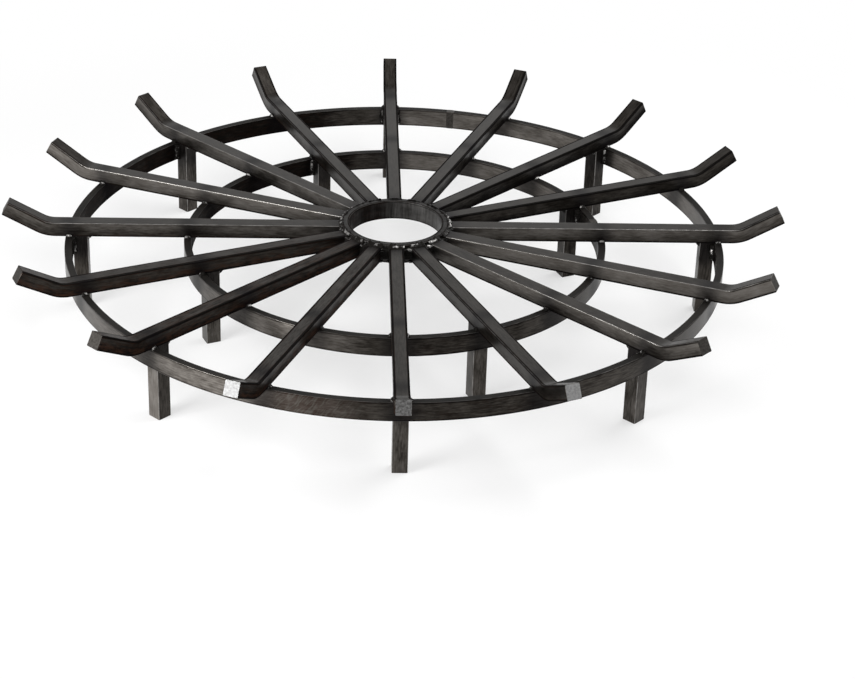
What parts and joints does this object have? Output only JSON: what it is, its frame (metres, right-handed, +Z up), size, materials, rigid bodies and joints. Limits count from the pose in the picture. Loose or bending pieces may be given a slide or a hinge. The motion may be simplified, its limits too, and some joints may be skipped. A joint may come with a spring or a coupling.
{
  "type": "log grate",
  "caption": "Round log grate: square steel bars run out from a hub ring like wheel spokes, tips bent up to hold logs, welded on rolled rings and short legs.",
  "frame": {"origin": "on the ground under the middle of the hub ring", "axes": "+Z up; spoke_01 points along +Y, and the spokes count on anticlockwise seen from above"},
  "size_m": [1.016, 1.016, 0.1482],
  "materials": {
    "spoke_steel": "dark hot-rolled steel, ground along its length, satin clear coat",
    "leg_steel": "dark hot-rolled steel, satin clear coat",
    "ring_steel": "dark rolled flat bar, satin clear coat",
    "hub_steel": "dark rolled flat bar, brushed inside, satin clear coat",
    "weld_metal": "rippled weld bead, slightly brighter than the bars, satin clear coat"
  },
  "bodies": {
    "root": {"hub_ring": "hub_steel", "outer_ring": "ring_steel", "inner_ring": "ring_steel", "spoke_01": "spoke_steel", "spoke_02": "spoke_steel", "spoke_03": "spoke_steel", "spoke_04": "spoke_steel", "spoke_05": "spoke_steel", "spoke_06": "spoke_steel", "spoke_07": "spoke_steel", "spoke_08": "spoke_steel", "spoke_09": "spoke_steel", "spoke_10": "spoke_steel", "spoke_11": "spoke_steel", "spoke_12": "spoke_steel", "spoke_13": "spoke_steel", "spoke_14": "spoke_steel", "spoke_15": "spoke_steel", "spoke_16": "spoke_steel", "outer_leg_01": "leg_steel", "outer_leg_03": "leg_steel", "outer_leg_05": "leg_steel", "outer_leg_07": "leg_steel", "outer_leg_09": "leg_steel", "outer_leg_11": "leg_steel", "outer_leg_13": "leg_steel", "outer_leg_15": "leg_steel", "inner_leg_02": "leg_steel", "inner_leg_06": "leg_steel", "inner_leg_10": "leg_steel", "inner_leg_14": "leg_steel", "outer_ring_seam_weld": "weld_metal", "inner_ring_seam_weld": "weld_metal", "hub_fill_welds": "weld_metal", "hub_top_welds": "weld_metal", "outer_ring_spoke_welds": "weld_metal", "inner_ring_spoke_welds": "weld_metal", "outer_leg_welds": "weld_metal", "inner_leg_welds": "weld_metal"}
  },
  "joints": []
}
